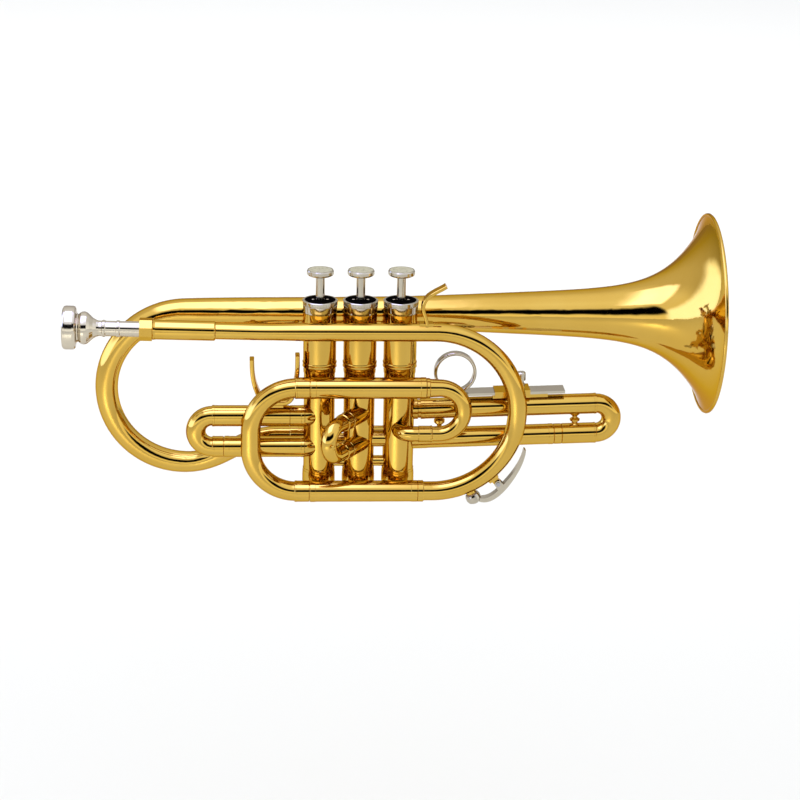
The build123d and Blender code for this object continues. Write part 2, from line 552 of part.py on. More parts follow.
with BuildPart() as sleeve_stays:
    for x in (VALVE_X[0], VALVE_X[2]):
        tube((x, FRONT_Y, TUNE_TOP_Z), (0, 1, 0), 10.5, 2.4)
        tube((x, FRONT_Y, TUNE_TOP_Z), (0, 1, 0), 7.5, 3.6)
        tube((x, 0, TUNE_TOP_Z - 6.0), (0, 0, 1), 12.0, CASING_R, mode=Mode.SUBTRACT)
    tube((SLEEVE_X[0], FRONT_Y, TUNE_TOP_Z), (1, 0, 0), 70.0, SLEEVE_R, mode=Mode.SUBTRACT)
    tube((SLEEVE_X[0], FRONT_Y, TUNE_TOP_Z), (1, 0, 0), 3.4, SLEEVE_R + 0.15, mode=Mode.SUBTRACT)
save(sleeve_stays, "sleeve_stays")

with BuildPart() as bell_stays:
    for x, reach in ((VALVE_X[0], 11.8), (VALVE_X[2], 11.15)):
        tube((x, 8.5, BELL_Z), (0, 1, 0), reach - 8.5, 3.0)
        tube((x, 0, BELL_Z - 6.0), (0, 0, 1), 12.0, BARREL_R, mode=Mode.SUBTRACT)
    add(bell.part, mode=Mode.SUBTRACT)
save(bell_stays, "bell_stays")

# ---------------------------------------------------------------- first valve slide
with BuildPart() as first_fixed:
    tube((-83.2, FIRST_Y, FIRST_LOW_Z), (1, 0, 0), ELBOW_X + 83.2, LEG_R, LEG_R - WALL)
    ferrule((-83.2, FIRST_Y, FIRST_LOW_Z), (1, 0, 0), 3.0, LEG_R + 0.12, LEG_R - 0.1)
    inner = LEG_R - WALL - FIT
    tube((-80.0, FIRST_Y, FIRST_UP_Z), (1, 0, 0), ELBOW_X + 80.0, inner, inner - 0.45)
    ferrule((-43.0, FIRST_Y, FIRST_UP_Z), (1, 0, 0), ELBOW_X + 43.0, LEG_R, inner - 0.1)
    for z in (FIRST_UP_Z, FIRST_LOW_Z):
        swept(elbow_wire(z), LEG_R - 0.2, LEG_R - 1.1)
        ferrule((ELBOW_X - 2.0, FIRST_Y, z), (1, 0, 0), 2.6, LEG_R + 0.12, LEG_R - 1.0)
    tube((VALVE_X[0], 0, -42.0), (0, 0, 1), 50.0, CASING_R, mode=Mode.SUBTRACT)
save(first_fixed, "first_slide_tubes")

with BuildPart() as first_slide:
    swept(bow_wire(Plane(origin=(FIRST_BOW_X, FIRST_Y, (FIRST_UP_Z + FIRST_LOW_Z) / 2), x_dir=(-1, 0, 0),
                         z_dir=(0, 1, 0)), (FIRST_UP_Z - FIRST_LOW_Z) / 2), 6.1, 5.4)
    tube((FIRST_BOW_X, FIRST_Y, FIRST_UP_Z), (1, 0, 0), 47.6, LEG_R, LEG_R - WALL)
    turned((FIRST_BOW_X, FIRST_Y, FIRST_UP_Z), (1, 0, 0), [
        (0.0, 5.7), (0.0, 6.35), (0.3, LEG_R + 0.12), (1.5, LEG_R + 0.12), (1.8, 6.35), (1.8, 6.05),
        (0.8, 5.7),
    ])
    ferrule((FIRST_BOW_X, FIRST_Y, FIRST_LOW_Z), (1, 0, 0), 7.15, LEG_R, 5.45)
    ferrule((FIRST_BOW_X, FIRST_Y, FIRST_LOW_Z), (1, 0, 0), 1.6, LEG_R + 0.12, 5.45)
    tube((FIRST_BOW_X, FIRST_Y, FIRST_LOW_Z), (1, 0, 0), 46.0, LEG_R - WALL - FIT, 5.4)
save(first_slide, "first_slide")

with BuildPart() as thumb_saddle:
    with BuildLine() as saddle_line:
        Spline((-66.2, FIRST_Y, 28.6), (-65.9, FIRST_Y, 20.5), (-64.6, FIRST_Y, 12.6), (-61.8, FIRST_Y, 5.0),
               (-56.6, FIRST_Y, 0.7), tangents=((0, 0, -1), (1, 0, 0)))
        Line((-56.6, FIRST_Y, 0.7), (-47.6, FIRST_Y, 0.7))
        Spline((-47.6, FIRST_Y, 0.7), (-41.2, FIRST_Y, 5.4), (-38.9, FIRST_Y, 17.4), (-38.4, FIRST_Y, 31.2),
               tangents=((1, 0, 0), (0, 0, 1)))
    start = Plane(origin=saddle_line.wire() @ 0, x_dir=(0, 1, 0), z_dir=saddle_line.wire() % 0)
    with BuildSketch(start) as strip:
        RectangleRounded(8.6, 2.8, 0.9)
    sweep(sections=strip.sketch, path=saddle_line.wire())
    with Locations((-52.5, FIRST_Y, -1.4)):
        Box(11.0, 5.0, 3.0)
    tube((FIRST_BOW_X + 1.0, FIRST_Y, FIRST_UP_Z), (1, 0, 0), 46.0, LEG_R, mode=Mode.SUBTRACT)
save(thumb_saddle, "thumb_saddle")

# ---------------------------------------------------------------- second valve slide
SECOND_FIX = 12.0
SECOND_BOW = 23.8
SECOND_BOW_R = 4.9
with BuildPart() as second_fixed:
    for z in (SECOND_Z + SECOND_HALF, SECOND_Z - SECOND_HALF):
        tube(second_at(-6.0, z), SECOND_DIR, SECOND_FIX + 6.0, SECOND_R, SECOND_R - WALL)
        ferrule(second_at(SECOND_FIX - 1.6, z), SECOND_DIR, 1.6, SECOND_R + 0.2, SECOND_R - 0.1)
    tube((0, 0, -42.0), (0, 0, 1), 60.0, CASING_R, mode=Mode.SUBTRACT)
save(second_fixed, "second_slide_tubes")

with BuildPart() as second_slide:
    for z in (SECOND_Z + SECOND_HALF, SECOND_Z - SECOND_HALF):
        tube(second_at(1.0, z), SECOND_DIR, SECOND_BOW - 1.0, SECOND_R - WALL - FIT, 4.3)
        ferrule(second_at(SECOND_FIX + 0.35, z), SECOND_DIR, 5.4, SECOND_R, 4.5)
    swept(bow_wire(Plane(origin=second_at(SECOND_BOW, SECOND_Z), x_dir=SECOND_DIR,
                         z_dir=(SECOND_DIR[1], -SECOND_DIR[0], 0)), SECOND_HALF), SECOND_BOW_R, 4.3)
    tube((0, 0, -42.0), (0, 0, 1), 60.0, CASING_R + 0.4, mode=Mode.SUBTRACT)
save(second_slide, "second_slide")

KNOB_WAY = (0.35, -0.9367, 0.0)
KNOB_AT = second_at(SECOND_BOW + SECOND_HALF, SECOND_Z)
with BuildPart() as second_knob:
    turned(KNOB_AT, KNOB_WAY, [
        (4.0, 0), (4.0, 1.3), (5.4, 1.3), (5.8, 1.7), (6.6, 1.7), (7.0, 1.2), (7.1, 0),
    ])
    middle = second_at(SECOND_BOW, SECOND_Z)
    with BuildSketch(Plane(origin=middle, x_dir=SECOND_DIR, z_dir=(0, 0, 1))) as tube_end:
        with Locations((SECOND_HALF, 0)):
            Circle(SECOND_BOW_R)
    bow_axis = Axis(middle, (SECOND_DIR[1], -SECOND_DIR[0], 0))
    revolve(profiles=tube_end.sketch, axis=bow_axis, mode=Mode.SUBTRACT)
save(second_knob, "second_slide_knob")

# ---------------------------------------------------------------- third valve slide
THIRD_LOW_LEN = 83.6
BACK3 = (-D3[0], 0.0, -D3[2])
with BuildPart() as third_fixed:
    tube(third_at(-10.0, -THIRD_HALF), D3, THIRD_LOW_LEN + 10.0, THIRD_R, THIRD_R - WALL)
    ferrule(third_at(THIRD_LOW_LEN - 3.0, -THIRD_HALF), D3, 3.0, THIRD_R + 0.12, THIRD_R - 0.1)
    ferrule(third_at(-10.0, -THIRD_HALF), D3, 14.5, THIRD_R + 0.12, THIRD_R - 0.1)
    tube(third_at(-10.0, THIRD_HALF), D3, 80.0, THIRD_R - WALL - FIT, THIRD_R - WALL - FIT - 0.45)
    ferrule(third_at(-10.0, THIRD_HALF), D3, 9.0, THIRD_R, THIRD_R - WALL - FIT - 0.1)
    turned(third_at(12.4, -THIRD_HALF), U3, [
        (6.1, 0), (6.1, 3.2), (7.2, 1.8), (8.4, 1.4), (9.2, 2.4), (10.2, 3.4), (11.8, 3.4),
        (12.5, 2.0), (12.5, 0),
    ])
    tube((VALVE_X[2], 0, -42.0), (0, 0, 1), 60.0, CASING_R, mode=Mode.SUBTRACT)
    with Locations((VALVE_X[2] - 6.0, 0, -18.0)):
        Box(12.2, 40.0, 60.0, mode=Mode.SUBTRACT)
save(third_fixed, "third_slide_tubes")

with BuildPart() as third_slide:
    bow_plane = Plane(origin=third_at(THIRD_BOW, 0), x_dir=D3, z_dir=(0, -1, 0))
    swept(bow_wire(bow_plane, THIRD_HALF), 6.1, 5.45)
    tube(third_at(0.6, THIRD_HALF), D3, THIRD_BOW - 0.6, THIRD_R, THIRD_R - WALL)
    ferrule(third_at(0.6, THIRD_HALF), D3, 2.6, THIRD_R + 0.12, THIRD_R - 0.1)
    turned(third_at(THIRD_BOW, THIRD_HALF), BACK3, [
        (0.0, 5.7), (0.0, 6.3), (0.2, THIRD_R + 0.12), (1.4, THIRD_R + 0.12), (1.6, 6.3), (1.2, 5.7)])
    tube(third_at(34.0, -THIRD_HALF), D3, THIRD_BOW - 34.0, THIRD_R - WALL - FIT, 5.35)
    ferrule(third_at(THIRD_LOW_LEN + 0.35, -THIRD_HALF), D3, 5.0, THIRD_R, 5.45)
    ferrule(third_at(THIRD_BOW, -THIRD_HALF), BACK3, 1.6, THIRD_R + 0.12, 5.6)
    ferrule(third_at(THIRD_BOW, -THIRD_HALF), BACK3, 21.6, THIRD_R, 5.6)
save(third_slide, "third_slide")

with BuildPart() as third_stay:
    turned(third_at(97.4, 0.0), U3, [
        (-4.6, 0), (-4.6, 2.9), (-3.6, 2.6), (-2.6, 1.7), (-2.0, 1.8), (-1.2, 3.0), (-0.3, 3.2),
        (0.4, 2.4), (1.0, 1.5), (1.8, 1.6), (3.2, 3.2), (4.6, 4.0), (4.6, 0),
    ])
    for height in (THIRD_HALF, -THIRD_HALF):
        tube(third_at(85.0, height), D3, 24.0, THIRD_R, mode=Mode.SUBTRACT)
save(third_stay, "third_slide_stay")

# ---------------------------------------------------------------- finger ring on its rail
RAIL_H = 19.6          # height of the flat rail above the legs' middle plane
RAIL_T = 1.7
RAIL_W = 11.4
RAIL_X = (20.4, 90.4)
CLAMP_X = (57.4, 68.6)
RING_R = 12.2
SCREW_X = 63.6


def third_box(x_low, x_high, width, h_low, h_high, mode=Mode.ADD):
    """Block lined up with the third slide."""
    with BuildSketch(Plane(origin=third_at(x_low, 0), x_dir=(0, 1, 0), z_dir=D3)) as block:
        with Locations((0, (h_low + h_high) / 2)):
            Rectangle(width, h_high - h_low)
    extrude(to_extrude=block.sketch, amount=x_high - x_low, mode=mode)


with BuildPart() as ring_clamp:
    third_box(45.6, 80.0, 5.0, THIRD_HALF + 4.9, RAIL_H - RAIL_T / 2 - 0.9)
    third_box(46.6, 53.8, RAIL_W + 1.8, RAIL_H - RAIL_T / 2 - 1.3, RAIL_H + RAIL_T / 2 + 0.6)
    third_box(CLAMP_X[0], CLAMP_X[1], RAIL_W + 2.0, RAIL_H - RAIL_T / 2 - 1.8, RAIL_H + RAIL_T / 2 + 1.4)
    third_box(45.0, CLAMP_X[1] + 1.0, RAIL_W + 0.1, RAIL_H - RAIL_T / 2 - 0.05,
              RAIL_H + RAIL_T / 2 + 0.05, Mode.SUBTRACT)
    tube(third_at(40.0, THIRD_HALF), D3, 45.0, THIRD_R, mode=Mode.SUBTRACT)
    tube(third_at(SCREW_X, RAIL_H + 0.5), U3, 6.0, 1.56, mode=Mode.SUBTRACT)
save(ring_clamp, "ring_clamp")

with BuildPart() as finger_ring:
    third_box(RAIL_X[0], RAIL_X[1], RAIL_W, RAIL_H - RAIL_T / 2, RAIL_H + RAIL_T / 2)
    centre = third_at(22.4, 33.0)
    with BuildSketch(Plane(origin=centre, x_dir=(1, 0, 0), z_dir=(0, 0, 1))) as hoop:
        with Locations((RING_R, 0)):
            RectangleRounded(2.0, 5.6, 0.8)
    revolve(profiles=hoop.sketch, axis=Axis(centre, (0, 1, 0)))
save(finger_ring, "finger_ring")

with BuildPart() as lock_screw:
    turned(third_at(SCREW_X, RAIL_H), U3, [
        (1.0, 0), (1.0, 1.5), (3.4, 1.5), (3.6, 2.4), (4.6, 2.4), (5.2, 1.6), (6.6, 1.6), (7.0, 2.8),
        (11.6, 2.8), (12.2, 2.3), (12.2, 0),
    ])
    with BuildSketch(Plane(origin=third_at(SCREW_X, RAIL_H + 7.3), x_dir=D3, z_dir=U3)) as grips:
        with PolarLocations(2.95, 12):
            Rectangle(0.5, 0.4)
    extrude(to_extrude=grips.sketch, amount=4.2, mode=Mode.SUBTRACT)
save(lock_screw, "ring_lock_screw")

# ---------------------------------------------------------------- finger hook on the leadpipe
with BuildPart() as finger_hook:
    with BuildLine() as hook_line:
        Spline((39.4, FRONT_Y, 55.2), (38.4, FRONT_Y, 59.5), (36.9, FRONT_Y, 65.4), (38.2, FRONT_Y, 70.2),
               (42.8, FRONT_Y, 74.4), (50.6, FRONT_Y, 78.9))
    with BuildSketch(Plane(origin=hook_line.line @ 0, x_dir=(0, 1, 0), z_dir=hook_line.line % 0)) as strip:
        RectangleRounded(7.4, 2.1, 0.7)
    sweep(sections=strip.sketch, path=hook_line.line)
    with Locations((38.9, FRONT_Y, 54.8)):
        Box(8.4, 6.4, 2.2)
    tube((30.0, FRONT_Y, LEAD_Z), (1, 0, 0), 15.2, PIPE_R, mode=Mode.SUBTRACT)
save(finger_hook, "finger_hook")

# ---------------------------------------------------------------- water key
PIVOT = bow_point(41.5, 61.8)
PIVOT_R = 0.8
ACROSS = (0, 1, 0)


def across(point, y):
    return (point[0], FRONT_Y + y, point[2])


def key_plate(points, half_width, mode=Mode.ADD):
    """Plate in the plane of the big bow, from (angle, radius) corners."""
    with BuildSketch(Plane(origin=(0, FRONT_Y - half_width, 0), x_dir=(1, 0, 0), z_dir=(0, 1, 0))) as face:
        with BuildLine():
            corners = [bow_point(a, r) for a, r in points]
            Polyline(*[(x, -z) for x, y, z in corners], close=True)
        make_face()
    extrude(to_extrude=face.sketch, amount=2 * half_width, mode=mode)


with BuildPart() as key_mount:
    tube(bow_point(KEY_ANGLE, BOW_R + 3.6), KEY_OUT, 3.4, 3.0, 1.6)
    key_plate(((37.8, 56.0), (38.2, 58.3), (44.8, 58.3), (45.2, 56.0)), 2.8)
    key_plate(((39.2, 55.0), (39.6, 62.4), (40.6, 63.3), (42.4, 63.3), (43.4, 62.4), (43.8, 55.0)), 1.5)
    tube(across(PIVOT, -6.0), ACROSS, 12.0, PIVOT_R, mode=Mode.SUBTRACT)
    with BuildSketch(Plane(origin=BOW_CENTRE, x_dir=(1, 0, 0), z_dir=(0, 0, 1))) as tube_face:
        with Locations((BOW_R, 0)):
            Circle(END_R)
    revolve(profiles=tube_face.sketch, axis=Axis(BOW_CENTRE, (0, 1, 0)), mode=Mode.SUBTRACT)
save(key_mount, "water_key_mount")

with BuildPart() as key_pin:
    tube(across(PIVOT, -3.2), ACROSS, 6.4, PIVOT_R - 0.01)
    tube(across(PIVOT, -3.6), ACROSS, 0.65, 1.3)
    tube(across(PIVOT, 2.95), ACROSS, 0.65, 1.3)
save(key_pin, "water_key_pin")

LEVER_OUT = ((27.0, 64.6), (31.0, 67.6), (36.0, 68.3), (42.0, 67.7), (48.0, 66.6), (55.0, 65.3), (61.0, 64.1),
             (67.2, 62.3))
LEVER_IN = ((67.3, 61.1), (61.0, 62.4), (55.0, 63.1), (48.0, 63.7), (42.0, 64.4), (36.0, 65.3), (31.0, 64.6),
            (27.0, 61.6))
with BuildPart() as key_lever:
    with BuildSketch(Plane(origin=(0, FRONT_Y - 2.9, 0), x_dir=(1, 0, 0), z_dir=(0, 1, 0))) as blade:
        with BuildLine():
            out_edge = [(bow_point(a, r)[0], -bow_point(a, r)[2]) for a, r in LEVER_OUT]
            in_edge = [(bow_point(a, r)[0], -bow_point(a, r)[2]) for a, r in LEVER_IN]
            Spline(*out_edge)
            Line(out_edge[-1], in_edge[0])
            Spline(*in_edge)
            Line(in_edge[-1], out_edge[0])
        make_face()
    extrude(to_extrude=blade.sketch, amount=5.8)
    key_plate(((39.2, 65.4), (39.6, 60.6), (40.6, 59.8), (42.4, 59.8), (43.4, 60.6), (43.8, 65.4)), 2.9)
    with BuildSketch(Plane(origin=(0, FRONT_Y - 1.6, 0), x_dir=(1, 0, 0), z_dir=(0, 1, 0))) as slot:
        with Locations((PIVOT[0], -PIVOT[2])):
            Circle(2.6)
    extrude(to_extrude=slot.sketch, amount=3.2, mode=Mode.SUBTRACT)
    turned(bow_point(KEY_ANGLE, BOW_R + 7.6), KEY_OUT, [
        (0.0, 3.5), (0.0, 4.2), (1.2, 4.7), (3.4, 4.7), (5.0, 4.0), (6.0, 2.6), (6.3, 0),
        (1.4, 0), (1.4, 3.5),
    ])
    tube(across(PIVOT, -4.0), ACROSS, 8.0, PIVOT_R + 0.05, mode=Mode.SUBTRACT)
save(key_lever, "water_key_lever")

with BuildPart() as key_cork:
    tube(bow_point(KEY_ANGLE, BOW_R + 7.05), KEY_OUT, 1.95, 3.45)
save(key_cork, "water_key_cork")
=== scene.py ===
import bpy
import bmesh
import json
import math
from mathutils import Matrix, Vector

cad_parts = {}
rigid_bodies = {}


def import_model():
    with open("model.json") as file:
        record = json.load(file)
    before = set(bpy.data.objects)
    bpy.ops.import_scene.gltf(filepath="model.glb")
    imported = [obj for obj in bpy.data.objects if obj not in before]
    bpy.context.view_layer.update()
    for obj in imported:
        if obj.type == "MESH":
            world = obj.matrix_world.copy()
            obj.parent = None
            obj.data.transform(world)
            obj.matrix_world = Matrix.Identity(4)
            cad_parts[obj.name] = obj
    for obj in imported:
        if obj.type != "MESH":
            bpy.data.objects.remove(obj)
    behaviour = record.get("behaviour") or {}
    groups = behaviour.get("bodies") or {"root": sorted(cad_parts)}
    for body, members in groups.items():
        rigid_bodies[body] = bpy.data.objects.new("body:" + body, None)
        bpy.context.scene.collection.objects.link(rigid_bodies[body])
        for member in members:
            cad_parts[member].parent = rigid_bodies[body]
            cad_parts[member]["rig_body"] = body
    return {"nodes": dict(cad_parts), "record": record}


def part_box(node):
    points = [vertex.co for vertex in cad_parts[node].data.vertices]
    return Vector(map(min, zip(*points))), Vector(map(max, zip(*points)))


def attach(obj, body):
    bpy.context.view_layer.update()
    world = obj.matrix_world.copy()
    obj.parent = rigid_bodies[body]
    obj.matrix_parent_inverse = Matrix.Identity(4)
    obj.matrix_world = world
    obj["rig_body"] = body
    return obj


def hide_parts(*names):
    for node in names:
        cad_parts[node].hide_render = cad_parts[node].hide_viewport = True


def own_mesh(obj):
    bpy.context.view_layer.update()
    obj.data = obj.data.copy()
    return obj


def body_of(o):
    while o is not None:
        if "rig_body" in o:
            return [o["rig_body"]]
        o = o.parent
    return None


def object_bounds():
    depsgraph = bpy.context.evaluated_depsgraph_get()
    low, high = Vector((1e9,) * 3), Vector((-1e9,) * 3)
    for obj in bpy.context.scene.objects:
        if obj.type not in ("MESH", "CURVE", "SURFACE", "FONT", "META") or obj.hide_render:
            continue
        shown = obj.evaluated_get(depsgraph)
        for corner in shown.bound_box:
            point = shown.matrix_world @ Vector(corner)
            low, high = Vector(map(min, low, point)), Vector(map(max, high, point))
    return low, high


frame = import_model()
cad_box = [list(corner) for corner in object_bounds()]
nodes = frame["nodes"]
VALVES = (1, 2, 3)


# ------------------------------------------------------------------ materials
def new_material(name):
    material = bpy.data.materials.new(name)
    material.use_nodes = True
    tree = material.node_tree
    return material, tree, tree.nodes["Principled BSDF"]


def noise(tree, scale, detail, roughness):
    """Noise in the piece's own coordinates, so that it moves with the piece."""
    place = tree.nodes.new("ShaderNodeTexCoord")
    texture = tree.nodes.new("ShaderNodeTexNoise")
    texture.inputs["Scale"].default_value = scale
    texture.inputs["Detail"].default_value = detail
    texture.inputs["Roughness"].default_value = roughness
    tree.links.new(place.outputs["Object"], texture.inputs["Vector"])
    return texture.outputs["Fac"]


def ramp(tree, source, stops):
    """A colour ramp read at source, from (position, colour) stops."""
    node = tree.nodes.new("ShaderNodeValToRGB")
    elements = node.color_ramp.elements
    while len(elements) < len(stops):
        elements.new(0.5)
    for element, (position, colour) in zip(elements, stops):
        element.position = position
        element.color = (*colour, 1.0)
    tree.links.new(source, node.inputs["Fac"])
    return node.outputs["Color"]


def grey(value):
    return (min(1.0, value),) * 3


def bump(tree, height, strength, distance, below=None):
    node = tree.nodes.new("ShaderNodeBump")
    node.inputs["Strength"].default_value = strength
    node.inputs["Distance"].default_value = distance
    tree.links.new(height, node.inputs["Height"])
    if below is not None:
        tree.links.new(below, node.inputs["Normal"])
    return node.outputs["Normal"]


def metal(name, light, dark, rough, rim, coat=0.0):
    """Polished plated metal: buffed waviness, fine grain, patchy roughness and duller edges."""
    material, tree, shader = new_material(name)
    broad = noise(tree, 28.0, 3.0, 0.55)
    speck = noise(tree, 900.0, 6.0, 0.6)
    tree.links.new(ramp(tree, broad, [(0.30, dark), (0.72, light)]), shader.inputs["Base Color"])
    geometry = tree.nodes.new("ShaderNodeNewGeometry")
    edge = ramp(tree, geometry.outputs["Pointiness"], [(0.42, grey(0)), (0.50, grey(0)), (0.60, grey(1))])
    face = ramp(tree, speck, [(0.35, grey(rough * 0.75)), (0.70, grey(rough * 1.35))])
    worn = tree.nodes.new("ShaderNodeMix")
    worn.data_type = "FLOAT"
    tree.links.new(edge, worn.inputs[0])
    tree.links.new(face, worn.inputs[2])
    worn.inputs[3].default_value = rough * 2.0
    tree.links.new(worn.outputs[0], shader.inputs["Roughness"])
    waves = bump(tree, broad, 0.012, 0.002)
    tree.links.new(bump(tree, speck, 0.004, 0.0004, waves), shader.inputs["Normal"])
    shader.inputs["Metallic"].default_value = 1.0
    shader.inputs["Specular Tint"].default_value = (*rim, 1.0)
    shader.inputs["Coat Weight"].default_value = coat
    shader.inputs["Coat Roughness"].default_value = 0.04
    return material


def plain(name, light, dark, rough, scale, relief, sheen=0.0, specular=0.5):
    """Non-metal surface with mottled colour, uneven roughness and fine relief."""
    material, tree, shader = new_material(name)
    mottle = noise(tree, scale, 5.0, 0.6)
    tree.links.new(ramp(tree, mottle, [(0.30, dark), (0.70, light)]), shader.inputs["Base Color"])
    level = ramp(tree, mottle, [(0.30, grey(rough * 0.8)), (0.70, grey(rough * 1.2))])
    tree.links.new(level, shader.inputs["Roughness"])
    tree.links.new(bump(tree, mottle, relief, 0.0005), shader.inputs["Normal"])
    shader.inputs["Specular IOR Level"].default_value = specular
    shader.inputs["Sheen Weight"].default_value = sheen
    return material


finishes = {
    "lacquered_brass": metal(
        "lacquered_brass", (0.655, 0.418, 0.080), (0.620, 0.380, 0.062), 0.055, (0.62, 0.40, 0.20), coat=0.1),
    "nickel_plate": metal("nickel_plate", (0.58, 0.53, 0.42), (0.48, 0.43, 0.34), 0.09, (0.70, 0.66, 0.62)),
    "silver_plate": metal("silver_plate", (0.71, 0.64, 0.51), (0.58, 0.52, 0.41), 0.08, (0.70, 0.66, 0.64)),
    "piston_nickel": metal("lapped_nickel", (0.60, 0.59, 0.57), (0.50, 0.49, 0.48), 0.28, (0.80, 0.80, 0.80)),
    "spring_steel": metal("spring_steel", (0.50, 0.50, 0.50), (0.42, 0.42, 0.43), 0.25, (0.80, 0.80, 0.80)),
    "pearl": plain("pearl_inlay", (0.50, 0.46, 0.30), (0.36, 0.33, 0.21), 0.30, 420.0, 0.25, specular=0.2),
    "black_disc": plain(
        "black_disc", (0.004, 0.003, 0.003), (0.001, 0.001, 0.001), 0.60, 900.0, 0.15, specular=0.0),
    "felt": plain("felt", (0.86, 0.82, 0.74), (0.70, 0.66, 0.58), 0.95, 1500.0, 0.8, sheen=0.6),
    "cork": plain("cork", (0.56, 0.38, 0.22), (0.30, 0.18, 0.09), 0.85, 900.0, 0.7),
}
for part in frame["record"]["subparts"]:
    node = nodes[part["node"]]
    node.data.materials.clear()
    node.data.materials.append(finishes[part["material_slot"]])


# ------------------------------------------------------------------ small turned pieces
def lathe(name, centre, profile, finish, steps=64):
    """A turned piece on the valve block: (radius, height) points spun about the upright line at centre."""
    turning = bmesh.new()
    points = [turning.verts.new((radius, 0.0, height)) for radius, height in profile]
    lines = [turning.edges.new(pair) for pair in zip(points, points[1:])]
    bmesh.ops.spin(turning, geom=points + lines, cent=(0, 0, 0), axis=(0, 0, 1), angle=math.tau, steps=steps)
    bmesh.ops.remove_doubles(turning, verts=turning.verts, dist=0.000005)
    bmesh.ops.recalc_face_normals(turning, faces=turning.faces)
    mesh = bpy.data.meshes.new(name)
    turning.to_mesh(mesh)
    turning.free()
    mesh.materials.append(finishes[finish])
    mesh.shade_smooth()
    mesh.set_sharp_from_angle(angle=math.radians(50))
    piece = bpy.data.objects.new(name, mesh)
    bpy.context.scene.collection.objects.link(piece)
    piece.location = centre
    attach(piece, body_of(nodes["valve_casing_1"])[0])


BARREL_R = 0.01015       # the casing's upper barrel
BAND_Z = 0.0240          # middle of the band round the casing's joint
BAND_HALF = 0.0016
BAND_PROUD = 0.00045
RIVET_R = 0.00080
RIVET_H = 0.00022        # low enough to clear the button at the end of its stroke
RIVET_OUT = 0.0044       # from the stem's axis


def casing_band(n, x):
    """A band with two soft ridges and a shallow groove between them."""
    sunk = BARREL_R - 0.00005
    groove = BARREL_R + BAND_PROUD * 0.5
    shoulder = BARREL_R + BAND_PROUD * 0.7
    ridge = BARREL_R + BAND_PROUD
    lathe("casing_band_%d" % n, (x, 0.0, BAND_Z), [
        (sunk, -BAND_HALF), (shoulder, -BAND_HALF), (ridge, -BAND_HALF + 0.0003), (groove, -0.0004),
        (groove, 0.0004), (ridge, BAND_HALF - 0.0003), (shoulder, BAND_HALF), (sunk, BAND_HALF),
    ], "lacquered_brass")


def disc_rivets(n, x):
    """Two domed rivets on the cap disc, one on each side of the stem."""
    disc_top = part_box("cap_discs")[1][2]
    for side, out in (("left", -RIVET_OUT), ("right", RIVET_OUT)):
        lathe("disc_rivet_%d_%s" % (n, side), (x + out, 0.0, disc_top), [
            (RIVET_R, -0.00005), (RIVET_R, RIVET_H * 0.18), (RIVET_R * 0.85, RIVET_H * 0.6),
            (RIVET_R * 0.5, RIVET_H * 0.9), (0.0, RIVET_H),
        ], "silver_plate", steps=24)


def return_spring(n):
    """The coil as modelled, copied onto a mesh of its own and fixed to the spring's body in place of the
    solid.
    """
    solid = nodes["spring_%d" % n]
    spring = bpy.data.objects.new("return_spring_%d" % n, solid.data.copy())
    bpy.context.scene.collection.objects.link(spring)
    spring.matrix_world = solid.matrix_world
    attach(spring, body_of(solid)[0])
    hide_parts("spring_%d" % n)
    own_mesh(spring)


for n in VALVES:
    cap_low, cap_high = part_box("top_cap_%d" % n)
    valve_x = (cap_low[0] + cap_high[0]) / 2
    casing_band(n, valve_x)
    disc_rivets(n, valve_x)
for n in VALVES:
    return_spring(n)

# ------------------------------------------------------------------ stage
FLOOR_Z = cad_box[0][2] - 0.30
FLOOR_HALF = 9.0


def level_sheet(name, x, y, z, material):
    """A flat sheet between two X and two Y values, which isn't part of the object."""
    corners = [(x[0], y[0], z), (x[1], y[0], z), (x[1], y[1], z), (x[0], y[1], z)]
    mesh = bpy.data.meshes.new(name)
    mesh.from_pydata(corners, [], [(0, 1, 2, 3)])
    mesh.materials.append(material)
    sheet = bpy.data.objects.new(name, mesh)
    bpy.context.scene.collection.objects.link(sheet)
    return sheet


def times(tree, first, second):
    node = tree.nodes.new("ShaderNodeMath")
    node.operation = "MULTIPLY"
    tree.links.new(first, node.inputs[0])
    if isinstance(second, float):
        node.inputs[1].default_value = second
    else:
        tree.links.new(second, node.inputs[1])
    return node.outputs[0]


def slope(tree, value, start, end):
    """Rises smoothly from 0 at start to 1 at end, in either direction."""
    node = tree.nodes.new("ShaderNodeMapRange")
    node.interpolation_type = "SMOOTHSTEP"
    tree.links.new(value, node.inputs["Value"])
    node.inputs["From Min"].default_value = start
    node.inputs["From Max"].default_value = end
    return node.outputs[0]


def band(tree, value, low, high, soft):
    """1 between low and high, easing off over soft on both sides."""
    return times(tree, slope(tree, value, low - soft, low), slope(tree, value, high + soft, high))


def over(tree, below, mask, above):
    """Above, a colour or a socket, laid over below where the mask is 1."""
    mix = tree.nodes.new("ShaderNodeMix")
    mix.data_type = "RGBA"
    tree.links.new(mask, mix.inputs[0])
    tree.links.new(below, mix.inputs[6])
    if isinstance(above, tuple):
        mix.inputs[7].default_value = (*above, 1.0)
    else:
        tree.links.new(above, mix.inputs[7])
    return mix.outputs[2]


def coordinates(tree, kind):
    place = tree.nodes.new("ShaderNodeTexCoord")
    split = tree.nodes.new("ShaderNodeSeparateXYZ")
    tree.links.new(place.outputs[kind], split.inputs["Vector"])
    return split.outputs["X"], split.outputs["Y"], split.outputs["Z"]


def paper_floor():
    paper, tree, shader = new_material("paper")
    shader.inputs["Base Color"].default_value = (0.78, 0.765, 0.68, 1.0)
    shader.inputs["Roughness"].default_value = 0.9
    level_sheet("floor", (-FLOOR_HALF, FLOOR_HALF), (-FLOOR_HALF, FLOOR_HALF), FLOOR_Z, paper)


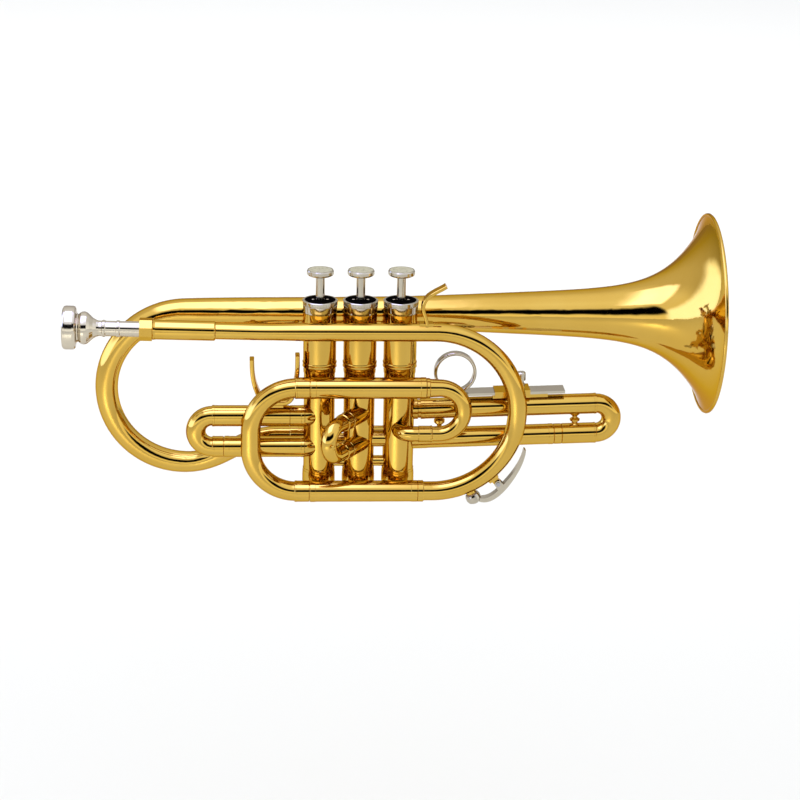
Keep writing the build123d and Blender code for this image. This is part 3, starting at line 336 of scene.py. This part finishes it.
def overhead_softbox():
    """A glowing card above the instrument, fading towards its edges, that shows only in reflections."""
    glow, tree = new_material("softbox")[:2]
    x, y = coordinates(tree, "Object")[:2]
    lit = times(tree, band(tree, x, -0.36, -0.02, 0.13), band(tree, y, -0.44, 0.12, 0.08))
    emission = tree.nodes.new("ShaderNodeEmission")
    emission.inputs["Color"].default_value = (1.0, 1.07, 2.7, 1.0)
    tree.links.new(times(tree, lit, 1.75), emission.inputs["Strength"])
    clear = tree.nodes.new("ShaderNodeBsdfTransparent")
    both = tree.nodes.new("ShaderNodeAddShader")
    tree.links.new(emission.outputs[0], both.inputs[0])
    tree.links.new(clear.outputs[0], both.inputs[1])
    tree.links.new(both.outputs[0], tree.nodes["Material Output"].inputs["Surface"])
    card = level_sheet("softbox", (-0.8, 0.2), (-0.54, 0.2), 0.60, glow)
    card.visible_camera = False
    card.visible_diffuse = False


def studio_sky():
    """A white tent, greyer at the back, with a lamp low on the left and a dark gap where the lens looks."""
    world = bpy.data.worlds.new("studio")
    bpy.context.scene.world = world
    world.use_nodes = True
    tree = world.node_tree
    x, y, z = coordinates(tree, "Generated")
    zenith = (1.18, 1.22, 1.40)
    back = ramp(tree, z, [
        (0.00, (0.50, 0.50, 0.50)), (0.50, (0.82, 0.82, 0.84)), (0.80, (0.88, 0.88, 0.92)), (1.00, zenith),
    ])
    front = ramp(tree, z, [
        (0.00, (1.34, 1.35, 1.34)), (0.18, (1.16, 1.17, 1.16)), (0.60, (1.14, 1.18, 1.36)),
        (0.88, (1.26, 1.34, 1.62)), (1.00, zenith),
    ])
    sky = over(tree, back, band(tree, y, -2.0, -0.20, 0.45), front)
    lamp = times(tree, band(tree, x, -2.0, -0.82, 0.12), band(tree, z, 0.0, 0.24, 0.14))
    sky = over(tree, sky, lamp, (2.0, 2.4, 4.6))
    gap = times(tree, band(tree, z, 0.245, 0.49, 0.14), band(tree, y, -2.0, -0.66, 0.08))
    sky = over(tree, sky, gap, (0.0, 0.0, 0.0))
    tree.links.new(sky, tree.nodes["Background"].inputs["Color"])
    tree.nodes["Background"].inputs["Strength"].default_value = 1.0


def floor_light(name, at, to, size, power):
    """An area light on the paper, which itself doesn't show in the metal."""
    light = bpy.data.lights.new(name, "AREA")
    light.shape = "RECTANGLE"
    light.size, light.size_y = size
    light.energy = power
    lamp = bpy.data.objects.new(name, light)
    bpy.context.scene.collection.objects.link(lamp)
    lamp.location = at
    lamp.rotation_euler = (Vector(to) - Vector(at)).to_track_quat("-Z", "Y").to_euler()
    lamp.visible_glossy = False


paper_floor()
overhead_softbox()
studio_sky()
floor_light("floor_wash", (0.0, 2.2, 2.6), (0.0, 1.6, FLOOR_Z), (5.0, 3.0), 60.0)
floor_light("floor_spot", (-0.45, -0.85, FLOOR_Z + 0.32), (-0.45, -0.85, FLOOR_Z), (0.25, 0.25), 2.4)

# ------------------------------------------------------------------ camera
PICTURE_PX = 800.0
FOCAL_PX = 2200.0
SENSOR = 36.0
DISTANCE = 1.364
PITCH = math.radians(19.1)
TURN = math.radians(3.7)
TARGET = Vector((0.02538, 0.0, 0.0))


def picture_camera():
    # rows of the world-to-camera turn: world X, Y and Z as the camera sees them
    x_seen = Vector((math.cos(TURN), 0.0, -math.sin(TURN)))
    z_seen = Vector((math.sin(PITCH) * math.sin(TURN), math.cos(PITCH), math.sin(PITCH) * math.cos(TURN)))
    y_seen = z_seen.cross(x_seen)
    turn = Matrix((x_seen, y_seen, z_seen))
    lens = bpy.data.cameras.new("camera")
    lens.sensor_width = SENSOR
    lens.lens = SENSOR * FOCAL_PX / PICTURE_PX
    lens.clip_end = 50.0
    camera = bpy.data.objects.new("camera", lens)
    bpy.context.scene.collection.objects.link(camera)
    camera.matrix_world = Matrix.Translation(TARGET + turn @ Vector((0, 0, DISTANCE))) @ turn.to_4x4()
    bpy.context.scene.camera = camera


picture_camera()
bpy.context.scene.view_settings.view_transform = "Standard"
